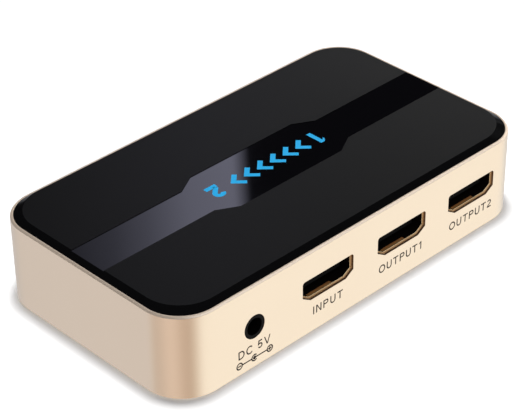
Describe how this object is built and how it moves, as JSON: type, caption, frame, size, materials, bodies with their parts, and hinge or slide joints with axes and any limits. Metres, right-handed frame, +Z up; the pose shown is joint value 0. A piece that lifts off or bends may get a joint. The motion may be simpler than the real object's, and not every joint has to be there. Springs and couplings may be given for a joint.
{
  "type": "video splitter",
  "caption": "Flat metal box with a black bevelled top panel, and a power jack and video sockets along one long side, that copies one video input to its outputs.",
  "frame": {"origin": "middle of the footprint, on the surface that the feet stand on", "axes": "+Z up, +X along the length to the right as the sockets are seen, sockets and jack face -Y"},
  "size_m": [0.105, 0.058, 0.0215],
  "materials": {
    "case_metal": "fine blasted, champagne anodised",
    "panel_black": "satin black with one polished band",
    "adhesive": "soft adhesive foam",
    "cover_black": "fine moulded texture",
    "foot_rubber": "matt rubber",
    "screw_steel": "plated steel",
    "board_green": "solder mask",
    "shell_gold": "gold-flashed sheet",
    "insulator_black": "moulded insulator",
    "contact_gold": "gold-flashed contact",
    "jack_black": "moulded insulator",
    "jack_nickel": "nickel plated",
    "chip_black": "moulded chip package",
    "pad_grey": "soft silicone",
    "sink_grey": "grey anodised",
    "can_metal": "drawn can",
    "ferrite": "pressed ferrite",
    "ceramic": "fired ceramic",
    "lamp_white": "cast resin",
    "pipe_clear": "clear acrylic"
  },
  "bodies": {
    "case": {"housing": "case_metal", "top_panel": "panel_black", "panel_tape": "adhesive", "bottom_cover": "cover_black", "rubber_feet": "foot_rubber", "cover_screws": "screw_steel", "main_board": "board_green", "board_screws": "screw_steel", "input_shell": "shell_gold", "input_insulator": "insulator_black", "input_contacts": "contact_gold", "output1_shell": "shell_gold", "output1_insulator": "insulator_black", "output1_contacts": "contact_gold", "output2_shell": "shell_gold", "output2_insulator": "insulator_black", "output2_contacts": "contact_gold", "jack_body": "jack_black", "jack_pin": "jack_nickel", "jack_terminal": "jack_nickel", "splitter_chip": "chip_black", "thermal_pad": "pad_grey", "heat_sink": "sink_grey", "memory_chip": "chip_black", "crystal": "can_metal", "regulator": "chip_black", "inductor": "ferrite", "capacitors": "can_metal", "surge_arrays": "chip_black", "chip_capacitors": "ceramic", "status_leds": "lamp_white", "light_pipes": "pipe_clear"},
    "plug_spring": {"jack_spring": "jack_nickel"}
  },
  "joints": [
    {"name": "spring_flex", "type": "hinge", "parent": "case", "child": "plug_spring", "pos_m": [-0.0345, -0.0184, 0.01036], "axis": [0, 0, -1], "range_deg": [0, 4], "stiffness_Nm_per_rad": 0.05}
  ]
}
